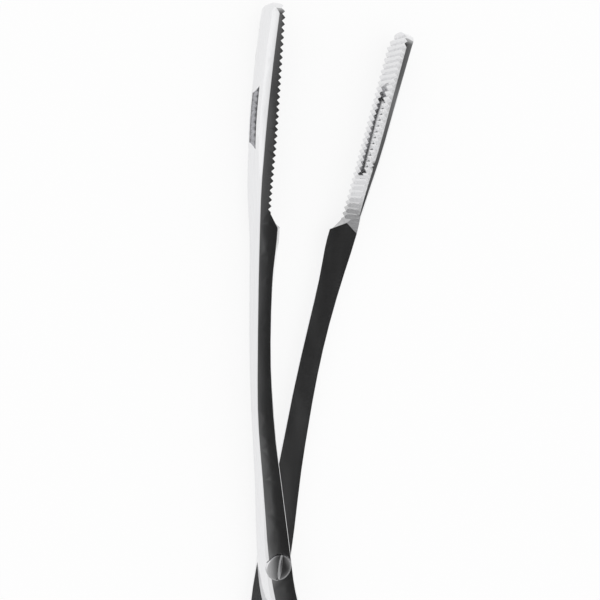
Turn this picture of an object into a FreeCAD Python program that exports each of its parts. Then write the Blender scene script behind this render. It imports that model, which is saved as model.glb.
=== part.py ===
import FreeCAD, Part
import math
import os

# Kidney stone forceps, lying flat, half open.
#
# Two forged halves cross like scissor blades. Each half is one piece: finger ring, handle,
# its layer of the flat lap joint, shank and toothed jaw. The front half lies on the lap plane
# and carries the left jaw. The back half lies under it and carries the right jaw. One
# slotted screw is fast in the back half, and the front half turns on it.
#
# Frame, in millimetres: the screw axis is +Z. The origin is on that axis, in the
# underside of the back half. +Y runs from the joint towards the jaws.
#
# Both halves are built closed, with their layer of the lap above a lap plane at z = 0. The
# back half is turned over, both are swung open about the screw, and everything is lifted so
# that the joint stands on z = 0.
# Widths of a half are counted outwards from the closed line, along which the halves lie on
# one another: outwards is towards the back of that half's own jaw.

# Opening
rest_opening = 13.5          # degrees between the closed place and the modelled one
lap_clearance = 0.06         # between the two lap faces

# The closed line, a curve from the screw to the root of the jaws and straight from there on
joint_offset = 0.2           # it passes this far right of the screw
root_reach = 72.0            # height of the root of the jaws above the screw
root_offset = 7.5            # and its distance to the right
joint_lean = 3.15            # degrees to the right, at the screw
jaw_lean = 10.24             # degrees to the right, along the jaws
lower_pull = 40.5            # length over which the curve keeps the lean of the joint
upper_pull = 30.7            # length over which it takes up the lean of the jaws

# Joint and shank of one half, measured in cross sections. In each row: height above the
# screw, outer edge and inner edge on the lap face, how far the outer and the inner side draw
# in from there to the front face, thickness, and the bevel along the outer front edge
joint_thickness = 3.2
edge_bevel = 0.12
face_fullness = 0.035        # polished faces rise to their middle by this much per width
side_bulge = 0.05            # and straight sides bow out by this much
shank_rows = [
    (-9.0, 3.60, 4.25, 1.20, 1.00, 3.15, 0.85),
    (0.0, 3.75, 3.80, 1.10, 0.95, joint_thickness, 0.60),
    (8.0, 3.50, 3.30, 0.85, 0.90, 3.15, 0.40),
    (15.0, 3.15, 2.80, 0.75, 0.78, 3.00, 0.22),
    (22.0, 2.90, 2.42, 0.58, 0.80, 2.85, edge_bevel),
    (29.0, 2.82, 2.20, 0.42, 0.95, 2.75, edge_bevel),
    (36.0, 2.77, 2.04, 0.46, 0.97, 2.70, edge_bevel),
    (43.0, 2.74, 1.90, 0.65, 0.95, 2.70, edge_bevel),
    (50.0, 2.77, 1.86, 0.75, 0.93, 2.70, edge_bevel),
    (57.0, 2.90, 1.98, 0.80, 1.05, 2.72, edge_bevel),
    (63.0, 3.13, 2.38, 0.86, 1.33, 2.85, edge_bevel),
    (68.5, 3.38, 2.85, 0.92, 1.50, 3.08, edge_bevel),
]

# Jaws, which both reach from jaw_below under the lap plane to jaw_above over it
jaw_length = 41.4            # from the root to the tip
jaw_above = 4.25
jaw_below = 3.2
tip_depth = 3.7              # of the half oval that rounds the jaw's end
taper_length = 24.0          # the jaw thins out over this length before the tip
side_taper_length = 30.0     # and its near side over this one
tip_rounding = 1.6           # the back curves down to the tip over this length
tip_edge = 0.8               # thickness left at the very tip
jaw_stations = (36.0, 30.0, 24.0, 18.0, 12.0, 7.5, 4.6, 2.9, 1.8, 1.0, 0.45, 0.12)  # from the tip
crown_fullness = 0.57        # how steeply the rounded back leaves the crest
fall_from = 21.0             # from here to the root, the near side comes down by its fall
toe = 0.75                   # degrees: the closed jaws meet at the tips first
grip_bevel = 0.62            # along the toothed face, on the side that spans the lap
grip_bevel_end = 3.0         # it ends this far short of the root

# Sizes that differ between the jaws. Thickness runs from the toothed face to the crest of the
# rounded back, side height from there to the outer edge of the side, each at the tip, where
# the jaw is full, and at the root
left_thickness = (3.0, 4.25, 3.85)
right_thickness = (2.6, 3.05, 2.9)
left_side_height = (0.95, 2.4, 2.2)
right_side_height = (1.85, 1.45, 0.8)
left_face_advance = 0.12     # this toothed face stands this far past the line of its jaw
right_face_advance = 0.0
left_fall = 1.1
right_fall = 0.6
left_tip_setback = 0.0       # of the rounded end, from the full length
right_tip_setback = 0.35

# Shoulder on the inner side of the root, and ramp from the lap face to the jaw's far side
shoulder_step = 2.95         # the shank stands this far inside the closed line there
shoulder_draw = 1.4          # and its inner side draws in by this much
shoulder_peak = 0.95         # where shoulder and ramp meet on the lap plane, above the root
shoulder_drop = 35.0         # degrees that the shoulder falls away inwards on the lap plane
shoulder_face_drop = 59.0    # and on the front face
shoulder_slope = 0.14        # it rises along the jaw by this much per millimetre from the lap
ramp_drop = 28.0             # degrees that the foot of the ramp falls away outwards
ramp_slope = 0.6             # the ramp's own rise per millimetre

# Teeth
tooth_pitch = 1.22
tooth_depth = 0.58
tooth_flat = 0.14
first_groove = 1.3           # from the tip
groove_count = 32

# Slot through each jaw, as left by a round cutter plunged in from the toothed face
cutter_radius = 12.2
cutter_plunge = 5.1
slot_width = 2.4             # at the toothed face
slot_rim_width = 2.2         # at the bottom of the cut
cutter_hub_margin = 1.5      # the cutter's disc reaches this far past the toothed face
left_slot_from_tip = 21.9
right_slot_from_tip = 20.6
left_slot_height = 1.1       # of its middle, over the lap plane
right_slot_height = 0.1

# Screw: head, turned shoulder that the front half runs on, and thinner thread in the back half
head_radius = 2.72
head_height = 0.8            # of the straight edge
head_dome = 0.42
driver_slot_width = 0.72
driver_slot_depth = 0.8
driver_slot_turn = -8.0      # degrees from the forceps' long axis
bearing_radius = 1.5
thread_radius = 1.15
pivot_clearance = 0.05       # round the bearing, in the front half
head_clearance = 0.08        # round the head and under it
thread_clearance = 0.03      # round the thread, in the back half
seat_sink = 0.6              # the head's seat lies this far below the front face
seat_bevel = 0.22

# Handles and finger rings
handle_thickness = 4.6
handle_width = 4.5
handle_gap = 0.5             # between the closed handles where they are closest
handle_full_at = 29.0        # this far below the screw the handles lie side by side
handle_straight_from = 37.0  # and from here on they are straight
handle_ramp_slope = 2.0      # the lap ends in a ramp this much longer than it is deep
handle_ramp_margin = 1.0     # that starts this far below the place where they lie side by side
handle_draw = 0.8
handle_bevel = 0.55
ring_hole_width = 21.0
ring_hole_length = 26.0
ring_end_radius = 11.2       # of the middle of the stock, at the ring's two ends
ring_stock = 4.2
ring_gap = 1.2               # between the closed rings
ring_reach = 100.0           # from the screw to the middle of the rings
handle_end = 88.0            # the handle's end lies inside the ring's stock, this far down
handle_end_centre = 7.9      # and this far across from the closed line
handle_end_width = 3.6
handle_end_thickness = 3.7

# Crossing, half way between the joint and the place where the handles lie side by side
crossing_depth = 19.5
crossing_outer = 1.65
crossing_inner = 4.75
crossing_thickness = 2.85
crossing_draws = (1.0, 1.0, 0.95)
crossing_bevels = (0.75, 0.35)


def vec(x, y, z=0.0):
    return FreeCAD.Vector(x, y, z)


def unit(lean):
    """Direction in the lap plane that leans to the right by an angle in degrees."""
    a = math.radians(lean)
    return vec(math.sin(a), math.cos(a))


def between(t, a, b):
    return a + (b - a) * t


def smooth(t):
    """0 before t = 0, 1 after t = 1, with level ends."""
    t = max(0.0, min(1.0, t))
    return t * t * (3.0 - 2.0 * t)


root = vec(root_offset, root_reach)
line_start = vec(joint_offset, 0.0)
closed_line = Part.BezierCurve()
closed_line.setPoles([
    line_start,
    line_start + unit(joint_lean) * lower_pull,
    root - unit(jaw_lean) * upper_pull,
    root,
])
jaw_tip = root + unit(jaw_lean) * jaw_length
jaw_middle = (jaw_above - jaw_below) / 2.0
far = 12.0                   # reach of the cutting blocks beyond what they cut
mouth = 0.1                  # cutters start this far outside the face that they cut


def station(height):
    """Place and lean of the closed line at a height above the screw."""
    if height <= 0.0:
        return vec(joint_offset, height), 0.0
    low, high = 0.0, 1.0
    for _ in range(40):
        middle = (low + high) / 2.0
        if closed_line.value(middle).y < height:
            low = middle
        else:
            high = middle
    along = closed_line.tangent(low)[0]
    return closed_line.value(low), math.degrees(math.atan2(along.x, along.y))


def by_half(outward, left, right):
    return left if outward < 0.0 else right


def section(place, lean, outward, outer, inner, draws, heights, bevels, crown=0.0):
    """Closed cross section of a half, above and below the lap plane.

    outer, inner: the widest places, on the lap plane. draws: how far the outer side draws in
    above and below, and the inner side. heights: above and below. bevels: outer and inner.
    crown: 0 for a straight outer side, 1 for a rounded one.
    """
    side = unit(lean + 90.0) * outward

    def outline(up, height, outer_draw):
        """Poles of each edge from the outer to the inner side, over or under the lap plane."""
        face_out = outer - outer_draw - bevels[0]
        face_in = inner + draws[2] + bevels[1]
        rise = face_fullness * (face_out - face_in)
        edge = height - rise
        brow = edge - bevels[0]
        bend = between(crown, outer - outer_draw / 2.0 + side_bulge, outer)
        lift = between(crown, 0.5, crown_fullness)
        runs = [
            [(outer, 0.0), (bend, brow * lift), (outer - outer_draw, brow)],
            [(outer - outer_draw, brow), (face_out, edge)],
            [(face_out, edge), ((face_out + face_in) / 2.0, height + rise), (face_in, edge)],
            [(face_in, edge), (inner + draws[2], edge - bevels[1])],
            [(inner + draws[2], edge - bevels[1]), (inner, 0.0)],
        ]
        return [[place + side * q + vec(0.0, 0.0, up * z) for q, z in run] for run in runs]

    above = outline(1.0, heights[0], draws[0])
    below = [run[::-1] for run in outline(-1.0, heights[1], draws[1])[::-1]]
    edges = []
    for poles in above + below:
        if len(poles) == 2:
            edges.append(Part.LineSegment(*poles).toShape())
        else:
            bezier = Part.BezierCurve()
            bezier.setPoles(poles)
            edges.append(bezier.toShape())
    return Part.Wire(edges)


def near_reach(from_tip, outward):
    """Reach of a jaw over the lap plane, which comes down towards the root."""
    fall = by_half(outward, left_fall, right_fall)
    return jaw_above - fall * smooth((from_tip - fall_from) / (jaw_length - fall_from))


def reaches(from_tip, outward):
    """The same for both sides of a half: its own front side, and the side that spans the lap."""
    near = near_reach(from_tip, outward)
    return by_half(outward, (near, jaw_below), (jaw_below, near))


def grip_out(along, outward):
    """Distance of the toed toothed face outside the closed line."""
    advance = by_half(outward, left_face_advance, right_face_advance)
    return (jaw_length - along) * math.tan(math.radians(toe)) - advance


def shank_section(row, outward):
    height, outer, inner, outer_draw, inner_draw, thickness, bevel = row
    place, lean = station(height)
    root_side = by_half(outward, left_side_height, right_side_height)[2] + grip_out(0.0, outward)
    far_draw = between(smooth(height / root_reach), outer_draw, outer - root_side)
    far_height = between(smooth(height / lower_pull), thickness, reaches(jaw_length, outward)[1])
    draws = (outer_draw, far_draw, inner_draw)
    return section(place, lean, outward, outer, -inner, draws, (thickness, far_height), (bevel, edge_bevel))


def jaw_section(from_tip, outward):
    """Section of a jaw that is still uncut on its inner side."""
    lean = jaw_lean - outward * toe
    advance = by_half(outward, left_face_advance, right_face_advance)
    place = jaw_tip - unit(lean) * from_tip - unit(lean + 90.0) * (outward * advance)
    swell = math.sin(math.pi / 2.0 * min(1.0, from_tip / taper_length))
    side_swell = math.sin(math.pi / 2.0 * min(1.0, from_tip / side_taper_length))
    rounding = 1.0 - min(1.0, from_tip / tip_rounding)
    curve = math.sqrt(1.0 - rounding * rounding)
    root_part = smooth((from_tip - taper_length) / (jaw_length - taper_length))
    at_tip, full, at_root = by_half(outward, left_thickness, right_thickness)
    crest = between(root_part, between(swell, at_tip, full), at_root)
    crest = between(curve, tip_edge, crest)
    at_tip, full, at_root = by_half(outward, left_side_height, right_side_height)
    side = between(root_part, between(side_swell, at_tip, full), at_root)
    side = between(curve, tip_edge / 2.0, side)
    outer_draw = crest - side - edge_bevel
    draws = (outer_draw, outer_draw, shoulder_draw)
    bevels = (edge_bevel, edge_bevel)
    heights = reaches(from_tip, outward)
    return section(place, lean, outward, crest, -shoulder_step, draws, heights, bevels, 1.0 - root_part)


def handle_section(depth, outward):
    """Section of a handle, which lies on the other side of the closed line than its jaw."""
    lower = max(0.0, (depth - handle_full_at) / (handle_end - handle_full_at))
    centre = between(lower, -(handle_width + handle_gap) / 2.0, -handle_end_centre)
    half_width = between(lower, handle_width, handle_end_width) / 2.0
    half_thickness = between(lower, handle_thickness, handle_end_thickness) / 2.0
    return section(
        vec(joint_offset, -depth), 0.0, outward, centre + half_width, centre - half_width,
        (handle_draw, handle_draw, handle_draw), (half_thickness, half_thickness),
        (handle_bevel, handle_bevel))


def crossing_section(outward):
    return section(
        vec(joint_offset, -crossing_depth), 0.0, outward, crossing_outer, -crossing_inner,
        crossing_draws, (crossing_thickness, crossing_thickness), crossing_bevels)


def jaw_place(along, out, z, outward):
    """Point given along the closed jaw line from the root, outwards from it, and up."""
    return root + unit(jaw_lean) * along + unit(jaw_lean + 90.0) * (outward * out) + vec(0.0, 0.0, z)


def wedge(low_points, high_points):
    """Solid with flat or ruled sides between two outlines at different heights."""
    outlines = [Part.makePolygon(points + [points[0]]) for points in (low_points, high_points)]
    return Part.makeLoft(outlines, True, True)


def inner_cut(outward):
    """What is missing inside the toothed face: above the shoulder, and all of it beyond the lap."""
    tip_side = jaw_length + far

    def outline(start, drop, z):
        return [
            jaw_place(start, grip_out(start, outward), z, outward),
            jaw_place(start - drop, -far, z, outward),
            jaw_place(tip_side, -far, z, outward),
            jaw_place(tip_side, grip_out(tip_side, outward), z, outward),
        ]

    lap_drop = math.tan(math.radians(shoulder_drop)) * far
    face_drop = math.tan(math.radians(shoulder_face_drop)) * far
    top_drop = between(far / joint_thickness, lap_drop, face_drop)
    above = wedge(
        outline(shoulder_peak, lap_drop, 0.0),
        outline(shoulder_peak + shoulder_slope * far, top_drop, far))
    below = wedge(outline(-far, 0.0, -far), outline(-far, 0.0, 0.0))
    return above.fuse(below)


def lap_cut(outward):
    """The other half's layer: everything below the lap plane between the two ramps."""
    drop = math.tan(math.radians(ramp_drop))

    def outline(z):
        out = grip_out(shoulder_peak, outward)
        top = shoulder_peak - ramp_slope * z
        handle_ramp = -handle_full_at - handle_ramp_margin + handle_ramp_slope * z
        return [
            jaw_place(top + drop * (far + out), -far, z, outward),
            jaw_place(top - drop * (far - out), far, z, outward),
            vec(joint_offset + outward * far, handle_ramp, z),
            vec(joint_offset - outward * far, handle_ramp, z),
        ]

    return wedge(outline(-far), outline(0.0))


def jaw_matrix(outward):
    """Turns x and y of a cutter to out of the jaw's back and along it from the tip.

    The turn is a rotation, so z points up for a left jaw and down for a right jaw.
    """
    lean = jaw_lean - outward * toe
    out = unit(lean + 90.0) * outward
    back = unit(lean) * -1.0
    place = jaw_tip - out * by_half(outward, left_face_advance, right_face_advance)
    return FreeCAD.Matrix(
        out.x, back.x, 0.0, place.x,
        out.y, back.y, 0.0, place.y,
        0.0, 0.0, -outward, 0.0,
        0.0, 0.0, 0.0, 1.0,
    )


def tooth_grooves():
    grooves = []
    spread = (tooth_pitch - tooth_flat) / 2.0 * (1.0 + mouth / tooth_depth)
    for i in range(groove_count):
        y = first_groove + tooth_pitch * i
        groove = Part.makePolygon([
            vec(-mouth, y - spread, -far),
            vec(tooth_depth, y, -far),
            vec(-mouth, y + spread, -far),
            vec(-mouth, y - spread, -far),
        ])
        grooves.append(Part.Face(groove).extrude(vec(0.0, 0.0, 2.0 * far)))
    return Part.Compound(grooves)


def tip_corners(setback):
    """Everything outside the half oval of the jaw's end."""
    half_width = (jaw_above + jaw_below) / 2.0 + edge_bevel
    oval = Part.Ellipse(vec(0.0, 0.0), half_width, tip_depth).toShape()
    oval.rotate(vec(0.0, 0.0), vec(0.0, 1.0), 90.0)
    oval.translate(vec(-far, setback + tip_depth, jaw_middle))
    keep = Part.Face(Part.Wire([oval])).extrude(vec(2.0 * far, 0.0))
    block = Part.makeBox(2.0 * far, far + setback + tip_depth, 2.0 * far, vec(-far, -far, -far))
    return block.cut(keep)


def edge_bevel_cutter(outward):
    """Bevel of the toothed face, along the side that spans the lap."""
    outlines = []
    for i in range(4):
        y = between(i / 3.0, tip_depth, jaw_length - grip_bevel_end)
        edge = reaches(y, outward)[1]
        outlines.append(Part.makePolygon([
            vec(-mouth, y, outward * (edge - grip_bevel - mouth)),
            vec(grip_bevel + mouth, y, outward * (edge + mouth)),
            vec(-mouth, y, outward * (edge + mouth)),
            vec(-mouth, y, outward * (edge - grip_bevel - mouth)),
        ]))
    return Part.makeLoft(outlines, True, False)


def slot_cutter(from_tip, height):
    """Disc of the cutter, a little thinner at its rim."""
    taper = (slot_width - slot_rim_width) / 2.0 / cutter_plunge
    hub = cutter_radius - cutter_plunge - cutter_hub_margin
    hub_half = slot_rim_width / 2.0 + taper * (cutter_radius - hub)
    disc = Part.makePolygon([
        vec(hub, 0.0, -hub_half),
        vec(cutter_radius, 0.0, -slot_rim_width / 2.0),
        vec(cutter_radius, 0.0, slot_rim_width / 2.0),
        vec(hub, 0.0, hub_half),
        vec(hub, 0.0, -hub_half),
    ])
    disc = Part.Face(disc).revolve(vec(0.0, 0.0), vec(0.0, 0.0, 1.0), 360.0)
    disc.translate(vec(cutter_plunge - cutter_radius, from_tip, height))
    return disc


def jaw_cutters(outward):
    """Tooth grooves, end of the jaw, bevel of the toothed face and slot, each at its place."""
    slot_from_tip = by_half(outward, left_slot_from_tip, right_slot_from_tip)
    slot_height = by_half(outward, left_slot_height, right_slot_height)
    cutters = [
        tooth_grooves(),
        tip_corners(by_half(outward, left_tip_setback, right_tip_setback)),
        edge_bevel_cutter(outward),
        slot_cutter(slot_from_tip, slot_height),
    ]
    return [cutter.transformed(jaw_matrix(outward)) for cutter in cutters]


def finger_ring(outward):
    """Oval ring of round stock, on the side of its handle: four arcs that meet smoothly."""
    stock = ring_stock / 2.0
    across = ring_hole_width / 2.0 + stock
    length = ring_hole_length / 2.0 + stock
    end_centre = length - ring_end_radius
    side_radius = (across ** 2 + end_centre ** 2 - ring_end_radius ** 2) / (2.0 * (across - ring_end_radius))
    side_centre = side_radius - across
    turn = math.degrees(math.atan2(end_centre, side_centre))
    up = vec(0.0, 0.0, 1.0)
    pieces = []
    for start_angle, centre, radius, sweep in (
            (-turn, vec(-side_centre, 0.0), side_radius, 2.0 * turn),
            (turn, vec(0.0, end_centre), ring_end_radius, 180.0 - 2.0 * turn),
            (180.0 - turn, vec(side_centre, 0.0), side_radius, 2.0 * turn),
            (180.0 + turn, vec(0.0, -end_centre), ring_end_radius, 180.0 - 2.0 * turn)):
        circle = Part.Circle(centre + vec(radius, 0.0), vec(0.0, 1.0), stock).toShape()
        profile = Part.Face(Part.Wire([circle]))
        profile.rotate(centre, up, start_angle)
        pieces.append(profile.revolve(centre, up, sweep))
    ring = pieces[0].fuse(pieces[1:])
    ring.translate(vec(joint_offset - outward * (ring_gap / 2.0 + stock + across), -ring_reach))
    return ring


def half(outward):
    """One half, closed and above the lap plane. outward: -1 for a left jaw, 1 for a right jaw."""
    straight = [handle_section(depth, outward) for depth in (handle_end, handle_straight_from)]
    wires = [handle_section(depth, outward) for depth in (handle_straight_from, handle_full_at)]
    wires.append(crossing_section(outward))
    wires += [shank_section(row, outward) for row in shank_rows]
    wires += [jaw_section(s, outward) for s in jaw_stations]
    body = Part.makeLoft(wires, True, False)
    body = body.fuse([Part.makeLoft(straight, True, True), finger_ring(outward)])
    for cutter in [lap_cut(outward), inner_cut(outward)] + jaw_cutters(outward):
        body = body.cut(cutter)
    return body


def joint_hole(radius):
    return Part.makeCylinder(radius, 4.0 * joint_thickness, vec(0.0, 0.0, -2.0 * joint_thickness))


seat = lap_clearance + joint_thickness - seat_sink
front_half = half(-1.0)
front_half.translate(vec(0.0, 0.0, lap_clearance))
front_half = front_half.cut(joint_hole(bearing_radius + pivot_clearance))
seat_radius = head_radius + head_clearance
front_half = front_half.cut(Part.makeCylinder(seat_radius, far, vec(0.0, 0.0, seat)))
mouth_height = lap_clearance + joint_thickness - seat_bevel
front_half = front_half.cut(
    Part.makeCone(seat_radius, seat_radius + 2.0 * seat_bevel, 2.0 * seat_bevel, vec(0.0, 0.0, mouth_height)))

back_half = half(1.0).mirror(vec(0.0, 0.0, 0.0), vec(0.0, 0.0, 1.0))
back_half = back_half.cut(joint_hole(thread_radius + thread_clearance))

head_base = seat + head_clearance
head_top = head_base + head_height
dome_radius = (head_radius ** 2 + head_dome ** 2) / (2.0 * head_dome)
screw = Part.makeCylinder(head_radius, head_height + head_dome, vec(0.0, 0.0, head_base))
screw = screw.common(Part.makeSphere(dome_radius, vec(0.0, 0.0, head_top + head_dome - dome_radius)))
screw = screw.fuse(Part.makeCylinder(bearing_radius, head_base, vec(0.0, 0.0, 0.0)))
screw = screw.fuse(Part.makeCylinder(thread_radius, joint_thickness, vec(0.0, 0.0, -joint_thickness)))
driver_slot = Part.makeBox(driver_slot_width, 4.0 * head_radius, far)
slot_floor = head_top + head_dome - driver_slot_depth
driver_slot.translate(vec(-driver_slot_width / 2.0, -2.0 * head_radius, slot_floor))
driver_slot.rotate(vec(0.0, 0.0, 0.0), vec(0.0, 0.0, 1.0), driver_slot_turn)
screw = screw.cut(driver_slot).removeSplitter()

front_half.rotate(vec(0.0, 0.0, 0.0), vec(0.0, 0.0, 1.0), rest_opening / 2.0)
back_half.rotate(vec(0.0, 0.0, 0.0), vec(0.0, 0.0, 1.0), -rest_opening / 2.0)
nodes = {"front_half": front_half, "back_half": back_half, "pivot_screw": screw}

os.makedirs("parts", exist_ok=True)
for name, shape in nodes.items():
    shape.translate(vec(0.0, 0.0, joint_thickness))
    if shape.ShapeType == "Compound" and len(shape.Solids) == 1:
        shape = shape.Solids[0]
    shape.exportStep("parts/" + name + ".step")
    print(name, shape.ShapeType, "solids", len(shape.Solids), "valid", shape.isValid(),
          "volume", round(shape.Volume, 1), "faces", len(shape.Faces))
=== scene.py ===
# %% [markdown]
# # Kidney stone forceps, dressed for its picture
# The real instrument is three pieces of polished stainless steel: two forged halves that
# cross like scissor blades, and the slotted screw that they turn on. Its shape was settled
# in the solids, so this lesson is about steel: what a mirror finish needs round it, how a
# polisher's hand shows, and how a turned screw is modelled. The first step loads the solids
# and keeps the size of their box, because looks never change the size.

# %% Load the solids
import bpy
import math
from mathutils import Matrix, Vector


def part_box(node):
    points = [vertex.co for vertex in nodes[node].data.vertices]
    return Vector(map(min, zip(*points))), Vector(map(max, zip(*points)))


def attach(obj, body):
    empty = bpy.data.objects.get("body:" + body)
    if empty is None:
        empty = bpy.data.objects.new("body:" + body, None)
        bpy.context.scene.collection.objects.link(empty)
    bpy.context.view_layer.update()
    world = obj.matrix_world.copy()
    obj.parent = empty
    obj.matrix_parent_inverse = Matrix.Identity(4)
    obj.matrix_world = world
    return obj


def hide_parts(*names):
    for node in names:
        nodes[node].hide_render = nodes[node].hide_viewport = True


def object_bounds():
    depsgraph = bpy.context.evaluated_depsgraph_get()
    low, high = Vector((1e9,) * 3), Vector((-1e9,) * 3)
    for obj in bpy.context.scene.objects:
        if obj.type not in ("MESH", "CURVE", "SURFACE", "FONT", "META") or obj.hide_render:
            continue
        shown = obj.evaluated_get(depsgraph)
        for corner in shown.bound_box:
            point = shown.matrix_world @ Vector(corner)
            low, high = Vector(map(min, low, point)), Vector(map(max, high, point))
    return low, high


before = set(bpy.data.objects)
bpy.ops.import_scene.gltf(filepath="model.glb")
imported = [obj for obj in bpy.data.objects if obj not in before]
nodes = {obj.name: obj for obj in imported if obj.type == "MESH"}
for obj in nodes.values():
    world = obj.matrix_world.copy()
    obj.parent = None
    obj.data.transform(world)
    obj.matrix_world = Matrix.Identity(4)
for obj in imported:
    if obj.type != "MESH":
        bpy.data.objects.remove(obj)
solid_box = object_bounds()
mm = 0.001
for name, node in sorted(nodes.items()):
    heights = [round(corner[2] / mm, 2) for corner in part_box(name)]
    print(name, len(node.data.polygons), "faces, from", heights[0], "to", heights[1], "mm high")

# %% [markdown]
# ## The camera
# The photograph looks down on the joint and the jaws from a little to the left, close
# enough for the nearer shank to look wider. A camera is a place, a direction and a lens.
# The direction is two angles: 22.6 degrees round to the left and 9.3 degrees towards the
# jaws. It aims at a point between the shanks, at the height where the halves meet.

# %% Place the camera
aim = Vector((0.00620, 0.05586, 0.0032))
round_left = math.radians(22.6)
towards_jaws = math.radians(9.3)
distance = 0.17466
back_to_camera = Vector((
    -math.sin(round_left) * math.cos(towards_jaws),
    math.sin(towards_jaws),
    math.cos(round_left) * math.cos(towards_jaws),
))
picture_right = Vector((math.cos(round_left), 0.0, math.sin(round_left)))
picture_up = back_to_camera.cross(picture_right)

camera_data = bpy.data.cameras.new("camera")
camera_data.lens = 51.12
camera_data.sensor_width = 36.0
camera_data.clip_start = 0.01
camera = bpy.data.objects.new("camera", camera_data)
bpy.context.scene.collection.objects.link(camera)
turn = Matrix((picture_right, picture_up, back_to_camera)).transposed()
camera.matrix_world = Matrix.Translation(aim + back_to_camera * distance) @ turn.to_4x4()
bpy.context.scene.camera = camera
bpy.context.scene.view_settings.view_transform = "Standard"
print("camera at", [round(c / mm, 1) for c in camera.matrix_world.translation], "mm")

# %% [markdown]
# ## Nodes, one line each
# A finish in Blender is a tree of small nodes, each feeding the next. By hand a node is
# added, set and wired with the mouse. In code that takes several lines a node, which hides
# the recipe. These helpers add a node and fill its inputs in one call. An input is filled
# with a plain value, or with the output of another node. The floor's paint is the first
# material to need them, and it starts with the two nodes that Blender puts in each.

# %% Wire up nodes
def fill(tree, node, inputs):
    """Gives each named or numbered input a plain value, or links another node's output."""
    for name, value in inputs.items():
        if isinstance(value, bpy.types.NodeSocket):
            tree.links.new(value, node.inputs[name])
        else:
            node.inputs[name].default_value = value


def add(tree, kind, inputs):
    node = tree.nodes.new("ShaderNode" + kind)
    fill(tree, node, inputs)
    return node


def reckon(tree, operation, *values):
    """One sum with plain numbers."""
    node = add(tree, "Math", dict(enumerate(values)))
    node.operation = operation
    return node.outputs["Value"]


def node_material(name):
    material = bpy.data.materials.new(name)
    material.use_nodes = True
    return material, material.node_tree, material.node_tree.nodes["Principled BSDF"]


floor_paint, tree, shader = node_material("floor_paint")
print("a new material holds", [node.name for node in tree.nodes])

# %% [markdown]
# ## The floor
# The instrument lies on a white table. The paint is matt and a little under white, so it
# can still hold the forceps' soft shadow. A white background could come from strong lamps,
# but those would burn out the steel. Part of the paint's white is shown as a plain glow
# instead, to the camera and to whatever is mirrored, and adds no light to anything else.

# %% Lay the floor
floor_size = 4.0
floor_height = solid_box[0][2]
paint_white = 0.93
glow_share = 0.8
white = (1.0, 1.0, 1.0, 1.0)

bpy.ops.object.select_all(action="DESELECT")
bpy.ops.mesh.primitive_plane_add(size=floor_size, location=(0.0, 0.0, floor_height))
floor = bpy.context.object
floor.name = "floor"
fill(tree, shader, {
    "Base Color": (paint_white, paint_white, paint_white, 1.0),
    "Roughness": 1.0,
    "Specular IOR Level": 0.0,
})
rays = add(tree, "LightPath", {}).outputs
seen = reckon(tree, "MAXIMUM", rays["Is Camera Ray"], rays["Is Glossy Ray"])
paint = add(tree, "MixShader", {
    "Fac": reckon(tree, "MULTIPLY", seen, glow_share),
    1: shader.outputs["BSDF"],
    2: add(tree, "Emission", {"Color": white, "Strength": 1.0}).outputs["Emission"],
})
fill(tree, tree.nodes["Material Output"], {"Surface": paint.outputs["Shader"]})
floor.data.materials.append(floor_paint)
print("floor at", round(floor_height / mm, 2), "mm")

# %% [markdown]
# ## The dark patch
# Polished steel has hardly a colour of its own: it shows the room. In an all white room
# every face would come out white, so a photographer hangs something dark over the table.
# Here one dark patch stands above and to the right, and the faces that look up mirror it.
# It is long, along the forceps, and its edge is soft: the farther a mirrored direction lies
# from the patch's middle, the lighter it is, through a grey ceiling to white walls.

# %% Hang the dark patch
def direction(right_of_zenith, towards_tips):
    """A direction in the room, from two angles in degrees."""
    a, b = math.radians(right_of_zenith), math.radians(towards_tips)
    return Vector((math.sin(a) * math.cos(b), math.sin(b), math.cos(a) * math.cos(b)))


def vectors(tree, operation, output, *values):
    """One sum with directions or places."""
    node = tree.nodes.new("ShaderNodeVectorMath")
    node.operation = operation
    fill(tree, node, dict(enumerate(values)))
    return node.outputs[output]


patch_middle = direction(35.0, 0.0)
patch_squeeze = 0.36  # under 1 stretches the patch along the forceps
patch_reach = 120.0  # degrees from the middle to the end of the list of tones
patch_tones = [  # degrees from the middle, and how light the room is there
    (8, 0.018), (14, 0.026), (19, 0.050), (24, 0.10), (29, 0.17), (35, 0.28),
    (42, 0.42), (60, 0.52), (90, 0.62), (102, 0.75), (116, 1.0),
]
just_under_one = 0.99999  # rounding must not take a cosine past 1

world = bpy.data.worlds.new("room")
bpy.context.scene.world = world
world.use_nodes = True
room = world.node_tree
look = add(room, "TexCoord", {}).outputs["Generated"]
squeezed = vectors(room, "MULTIPLY", "Vector", look, (1.0, patch_squeeze, 1.0))
even = vectors(room, "NORMALIZE", "Vector", squeezed)
cosine = vectors(room, "DOT_PRODUCT", "Value", even, patch_middle)
away = reckon(room, "ARCCOSINE", reckon(room, "MINIMUM", cosine, just_under_one))
patch = add(room, "ValToRGB", {"Fac": reckon(room, "DIVIDE", away, math.radians(patch_reach))})
stops = patch.color_ramp.elements
while len(stops) < len(patch_tones):
    stops.new(0.5)
for stop, (angle, tone) in zip(stops, patch_tones):
    stop.position = angle / patch_reach
    stop.color = (tone, tone, tone, 1.0)
print("dark patch towards", [round(c, 2) for c in patch_middle], "with", len(stops), "tones")

# %% [markdown]
# ## Two soft lamps
# With the patch alone, the left sides are a flat white and the narrow right sides of the
# jaws are black. A soft lamp brightens the left of the room a little, and a weak one low on
# the right lifts those sides to grey. Both are part of what is mirrored and nothing more.
# Every other ray finds an even white room, which is what lights the floor.

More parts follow.
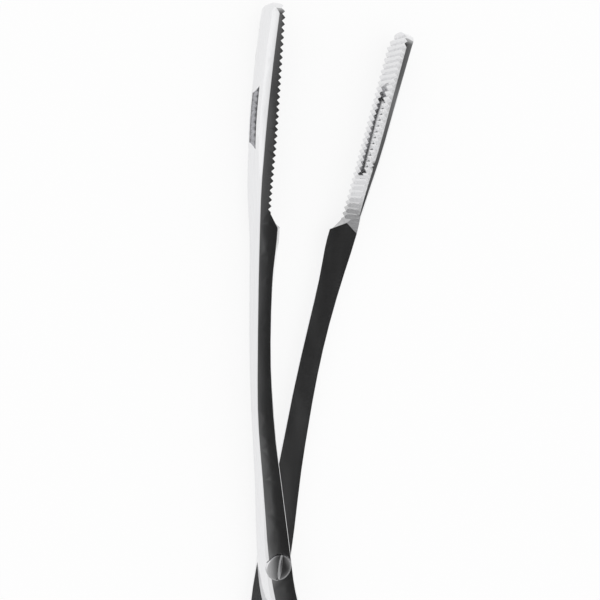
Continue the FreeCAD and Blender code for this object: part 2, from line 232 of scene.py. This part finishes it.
# %% Hang the lamps
def ranged(tree, value, low, high, from_low=0.0, from_high=1.0, easing="LINEAR"):
    """Turns one range of a value into another, and stops at its ends."""
    change = add(tree, "MapRange", {
        "Value": value,
        "From Min": from_low,
        "From Max": from_high,
        "To Min": low,
        "To Max": high,
    })
    change.interpolation_type = easing
    return change.outputs["Result"]


def mixed(tree, data_type, amount, a, b):
    """Goes from a to b, two numbers or two colours, by an amount from 0 to 1."""
    mix = tree.nodes.new("ShaderNodeMix")
    mix.data_type = data_type
    fill(tree, mix, {"Factor": amount, "A": a, "B": b})
    return mix.outputs["Result"]


def soft_lamp(middle, starts, full, low, high):
    """Grows from low to high between two cosines of the angle to the lamp's middle."""
    towards = vectors(room, "DOT_PRODUCT", "Value", look, middle)
    return ranged(room, towards, low, high, starts, full, "SMOOTHSTEP")


left_light = soft_lamp(direction(-80.0, 0.0), starts=0.5, full=0.98, low=1.0, high=1.06)
right_light = soft_lamp(direction(71.0, 4.0), starts=0.71, full=0.996, low=0.0, high=0.3)
brightened = reckon(room, "MULTIPLY", patch.outputs["Color"], left_light)
mirrored = reckon(room, "ADD", brightened, right_light)
glossy = add(room, "LightPath", {}).outputs["Is Glossy Ray"]
power = mixed(room, "FLOAT", glossy, 1.0, mirrored)
fill(room, room.nodes["Background"], {"Color": white, "Strength": power})
print("the room is", len(room.nodes), "nodes")

# %% [markdown]
# ## A polished finish
# Mirror polish is never even. The wheel runs along the shank and leaves very fine lines,
# its pressure leaves soft waves that bend the mirrored room, and handling leaves faint
# clouds. All three are noise at different scales on the piece's own coordinates. Lines are
# noise that is stretched along the shank. The buffed corners of the forging are too small
# to model along hundreds of tooth edges, so a Bevel node rounds them in the light alone.

# %% Mix the polish
line_scale = (9000.0, 220.0, 9000.0)  # a scale of 9000 is one grain in 1/9000 of a metre
line_depth = 0.0004 * mm
line_shade = 0.95
line_range = (0.3, 0.6)  # noise seldom leaves the middle of its range
wave_scale = (150.0, 60.0, 150.0)
wave_depth = 0.15 * mm
cloud_scale = (260.0, 120.0, 260.0)
cloud_range = (0.3, 0.7)
cloud_least, cloud_most = 0.75, 1.3
buffed_radius = 0.06 * mm
buffed_samples = 6


def noise(tree, place, scale, detail, turned=0.0):
    """Noise with its own scale along each axis, turned about Z."""
    stretch = add(tree, "Mapping", {
        "Vector": place,
        "Rotation": (0.0, 0.0, turned),
        "Scale": scale,
    })
    return add(tree, "TexNoise", {
        "Vector": stretch.outputs["Vector"],
        "Scale": 1.0,
        "Detail": detail,
    }).outputs["Fac"]


def bumped(tree, height, depth, under, strength=1.0):
    """Lays a bump over the normal that is under it."""
    return add(tree, "Bump", {
        "Strength": strength,
        "Distance": depth,
        "Height": height,
        "Normal": under,
    }).outputs["Normal"]


def polish(name, tone, roughness, shank_lean):
    """Metal with polishing lines along a shank that leans right by an angle in degrees."""
    material, tree, shader = node_material(name)
    place = add(tree, "TexCoord", {}).outputs["Object"]
    lean = math.radians(shank_lean)
    lines = noise(tree, place, line_scale, detail=3.0, turned=lean)
    waves = noise(tree, place, wave_scale, detail=1.0, turned=lean)
    clouds = noise(tree, place, cloud_scale, detail=5.0)
    edge = add(tree, "Bevel", {"Radius": buffed_radius})
    edge.samples = buffed_samples
    waved = bumped(tree, waves, wave_depth, edge.outputs["Normal"])
    light, dark = [[c * shade for c in tone] + [1.0] for shade in (1.0, line_shade)]
    least, most = roughness * cloud_least, roughness * cloud_most
    fill(tree, shader, {
        "Metallic": 1.0,
        "Base Color": mixed(tree, "RGBA", ranged(tree, lines, 0.0, 1.0, *line_range), dark, light),
        "Roughness": ranged(tree, clouds, least, most, *cloud_range),
        "Normal": bumped(tree, lines, line_depth, waved),
    })
    return material


for mark, scale in (("lines", line_scale), ("waves", wave_scale), ("clouds", cloud_scale)):
    print(mark, [round(1.0 / s / mm, 2) for s in scale], "mm across")

# %% [markdown]
# ## The ground faces of the jaws, and painted shade at their root
# The teeth are milled and the faces at their root are ground, and neither can be reached by
# the polishing wheel, so they are rougher than the rest. The root is also painted darker:
# that is painted shade, for the shaded floor close under the instrument that it mirrors. A
# second material with its own faces would need the solids' mesh to change. The rougher
# finish and the painted shade are laid over the polish by place and direction instead:
# beyond a line near the root, on faces that look inwards to the other jaw. The cutter's
# small burrs are a fine bump on the same faces, which makes some teeth glint and others go dark.

# %% Grind the inner faces and paint shade at their root
milled_from = (66.0 * mm, 68.0 * mm)  # the milled finish fades in here, up from the joint
# the painted shade of the root fades out over the next range
root_shade_until = (73.5 * mm, 77.0 * mm)  # and the darker root fades out here
inward_fade = (0.25, 0.4)
milled_roughness = 0.17
# painted shade: the root is coloured darker for the shaded floor that it mirrors
painted_root_shade_tone = (0.50, 0.50, 0.505, 1.0)
burr_scale = (1500.0, 1500.0, 1500.0)
burr_depth = 0.09 * mm


def worn(shader, name):
    """What feeds an input of the shader so far."""
    return shader.inputs[name].links[0].from_socket


def grind_and_paint_shade(material, jaw_lean, inwards):
    """Dulls the faces of a jaw that look inwards, and paints shade on their root: 1.0 to the
    right, -1.0 to the left.
    """
    tree = material.node_tree
    shader = tree.nodes["Principled BSDF"]
    where = tree.nodes["Texture Coordinate"].outputs
    lean = math.radians(jaw_lean)
    inward = (inwards * math.cos(lean), -inwards * math.sin(lean), 0.0)
    facing = vectors(tree, "DOT_PRODUCT", "Value", where["Normal"], inward)
    up = add(tree, "SeparateXYZ", {"Vector": where["Object"]}).outputs["Y"]
    inner = ranged(tree, facing, 0.0, 1.0, *inward_fade)
    milled = reckon(tree, "MULTIPLY", inner, ranged(tree, up, 0.0, 1.0, *milled_from))
    painted_root_shade = reckon(tree, "MULTIPLY", milled, ranged(tree, up, 1.0, 0.0, *root_shade_until))
    burrs = noise(tree, where["Object"], burr_scale, detail=2.0)
    # the Base Color mix paints shade on the root; the roughness and the burrs are the milled
    # finish
    fill(tree, shader, {
        "Base Color": mixed(tree, "RGBA", painted_root_shade, worn(shader, "Base Color"), painted_root_shade_tone),
        "Roughness": mixed(tree, "FLOAT", milled, worn(shader, "Roughness"), milled_roughness),
        "Normal": bumped(tree, burrs, burr_depth, worn(shader, "Normal"), milled),
    })


print("milled beyond", round(milled_from[1] / mm, 1), "mm from the joint,",
      "ground up to", round(root_shade_until[0] / mm, 1), "mm")

# %% [markdown]
# ## Steel for the halves
# Both halves are the same steel from the same wheel. They get a material each, because
# their shanks lean differently and their teeth look opposite ways. A solid already wears a
# plain material, so that comes off first. The mesh itself stays as it is.

# %% Dress the halves
steel_tone = (0.85, 0.85, 0.86)
steel_roughness = 0.10
halves = {  # how far the shank and the toothed face lean right, and where the teeth look
    "front": (0.0, 3.5, 1.0),
    "back": (13.5, 17.0, -1.0),
}
for half, (shank_lean, jaw_lean, inwards) in halves.items():
    steel = polish(half + "_steel", steel_tone, steel_roughness, shank_lean)
    grind_and_paint_shade(steel, jaw_lean, inwards)
    data = nodes[half + "_half"].data
    data.materials.clear()
    data.materials.append(steel)
    print(half + "_half", "wears", steel.name, "of", len(steel.node_tree.nodes), "nodes")

# %% [markdown]
# ## The pivot screw
# The screw is turned on a lathe: a thread, a thicker bearing that the front half runs on,
# and a low domed head. It could be spun from a profile. Here it grows from a disc at its
# end, by extruding up and widening, which gives clean rings of faces. The dome is part of a
# large ball. Its rings stand at even steps of the angle seen from the ball's middle, down
# to the last, which is closer in and leaves one small flat face at the top.

# %% Turn the screw
thread_radius = 1.15 * mm
bearing_radius = 1.5 * mm
head_radius = 2.72 * mm
bearing_base = 3.2 * mm
head_base = 5.94 * mm
head_edge = 6.74 * mm
head_top = 7.16 * mm
screw_sides = 96
dome_rings = 7
last_ring_share = 0.3


def extrude(up=0.0):
    bpy.ops.mesh.extrude_region_move(TRANSFORM_OT_translate={"value": (0.0, 0.0, up)})


def widen(factor):
    bpy.ops.transform.resize(value=(factor, factor, 1.0))


bpy.ops.object.select_all(action="DESELECT")
bpy.ops.mesh.primitive_circle_add(
    vertices=screw_sides, radius=thread_radius, fill_type="NGON", location=(0.0, 0.0, 0.0))
screw = bpy.context.object
screw.name = "turned_screw"
bpy.ops.object.mode_set(mode="EDIT")
bpy.ops.mesh.select_all(action="SELECT")
extrude(bearing_base)
extrude()
widen(bearing_radius / thread_radius)
extrude(head_base - bearing_base)
extrude()
widen(head_radius / bearing_radius)
extrude(head_edge - head_base)
dome_rise = head_top - head_edge
dome_radius = (head_radius ** 2 + dome_rise ** 2) / (2.0 * dome_rise)
last_angle = math.asin(head_radius / dome_radius)
steps = [left / (left + 1.0) for left in range(dome_rings - 1, 0, -1)] + [last_ring_share]
for step in steps:
    angle = last_angle * step
    extrude(dome_radius * (math.cos(angle) - math.cos(last_angle)))
    widen(math.sin(angle) / math.sin(last_angle))
    last_angle = angle
bpy.ops.mesh.select_all(action="SELECT")
bpy.ops.mesh.normals_make_consistent(inside=False)
bpy.ops.object.mode_set(mode="OBJECT")
print("screw top at", round(max(v.co.z for v in screw.data.vertices) / mm, 2), "mm")

# %% [markdown]
# ## The slot
# One straight slot is sawn across the head, so a bar of the saw's width is taken away with a
# Boolean modifier. Every edge left by a saw or a lathe is broken with a file, and on a small
# screw those broken edges show first, as thin bright lines. A small Bevel modifier makes
# them, on sharp edges only, and the dome is shaded smooth between them.

# %% Saw the slot and break its edges
slot_width = 0.72 * mm
slot_floor = 6.36 * mm
slot_turn = math.radians(-8.0)
bar_length = 8.0 * mm
bar_height = 2.0 * mm
broken_width = 0.05 * mm
sharp_edge = math.radians(35.0)
smooth_edge = math.radians(28.0)

bpy.ops.object.select_all(action="DESELECT")
bpy.ops.mesh.primitive_cube_add(size=1.0, location=(0.0, 0.0, slot_floor + bar_height / 2.0))
bar = bpy.context.object
bar.scale = (slot_width, bar_length, bar_height)
bar.rotation_euler = (0.0, 0.0, slot_turn)
bpy.ops.object.transform_apply(location=True, rotation=True, scale=True)
bpy.ops.object.select_all(action="DESELECT")
screw.select_set(True)
bpy.context.view_layer.objects.active = screw
saw = screw.modifiers.new("saw", "BOOLEAN")
saw.operation = "DIFFERENCE"
saw.solver = "EXACT"
saw.object = bar
bpy.ops.object.modifier_apply(modifier="saw")
bpy.data.objects.remove(bar)
broken = screw.modifiers.new("broken_edges", "BEVEL")
broken.width = broken_width
broken.segments = 3
broken.limit_method = "ANGLE"
broken.angle_limit = sharp_edge
bpy.ops.object.modifier_apply(modifier="broken_edges")
bpy.ops.object.shade_smooth_by_angle(angle=smooth_edge)
print("screw has", len(screw.data.polygons), "faces")

# %% [markdown]
# ## The screw's finish
# A turned face carries rings from the lathe, round the axis. They are noise that changes
# with the distance from the axis alone, laid over the same metal as the halves, a little
# darker and rougher because the wheel only passed over it. The finished screw rides on the
# back half, in which it is fast, and stands for the plain solid of the screw.

# %% Finish the screw
screw_tone = (0.80, 0.80, 0.81)
screw_roughness = 0.16
ring_scale = 9000.0
ring_depth = 0.0012 * mm

screw_steel = polish("screw_steel", screw_tone, screw_roughness, 0.0)
tree = screw_steel.node_tree
shader = tree.nodes["Principled BSDF"]
place = tree.nodes["Texture Coordinate"].outputs["Object"]
flat = vectors(tree, "MULTIPLY", "Vector", place, (1.0, 1.0, 0.0))
from_axis = vectors(tree, "LENGTH", "Value", flat)
rings = tree.nodes.new("ShaderNodeTexNoise")
rings.noise_dimensions = "1D"
fill(tree, rings, {"W": from_axis, "Scale": ring_scale, "Detail": 2.0})
turned = bumped(tree, rings.outputs["Fac"], ring_depth, worn(shader, "Normal"))
fill(tree, shader, {"Normal": turned})
screw.data.materials.append(screw_steel)
plain_screw = nodes["pivot_screw"].data
plain_screw.materials.clear()
plain_screw.materials.append(screw_steel)
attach(screw, "back")
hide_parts("pivot_screw")
print("the screw rides on the back half, in", screw_steel.name)

# %% [markdown]
# ## Last measure
# The size of the solids' box is printed.

# %% Measure and finish
print("solids", [round(c / mm, 2) for c in solid_box[1] - solid_box[0]], "mm")
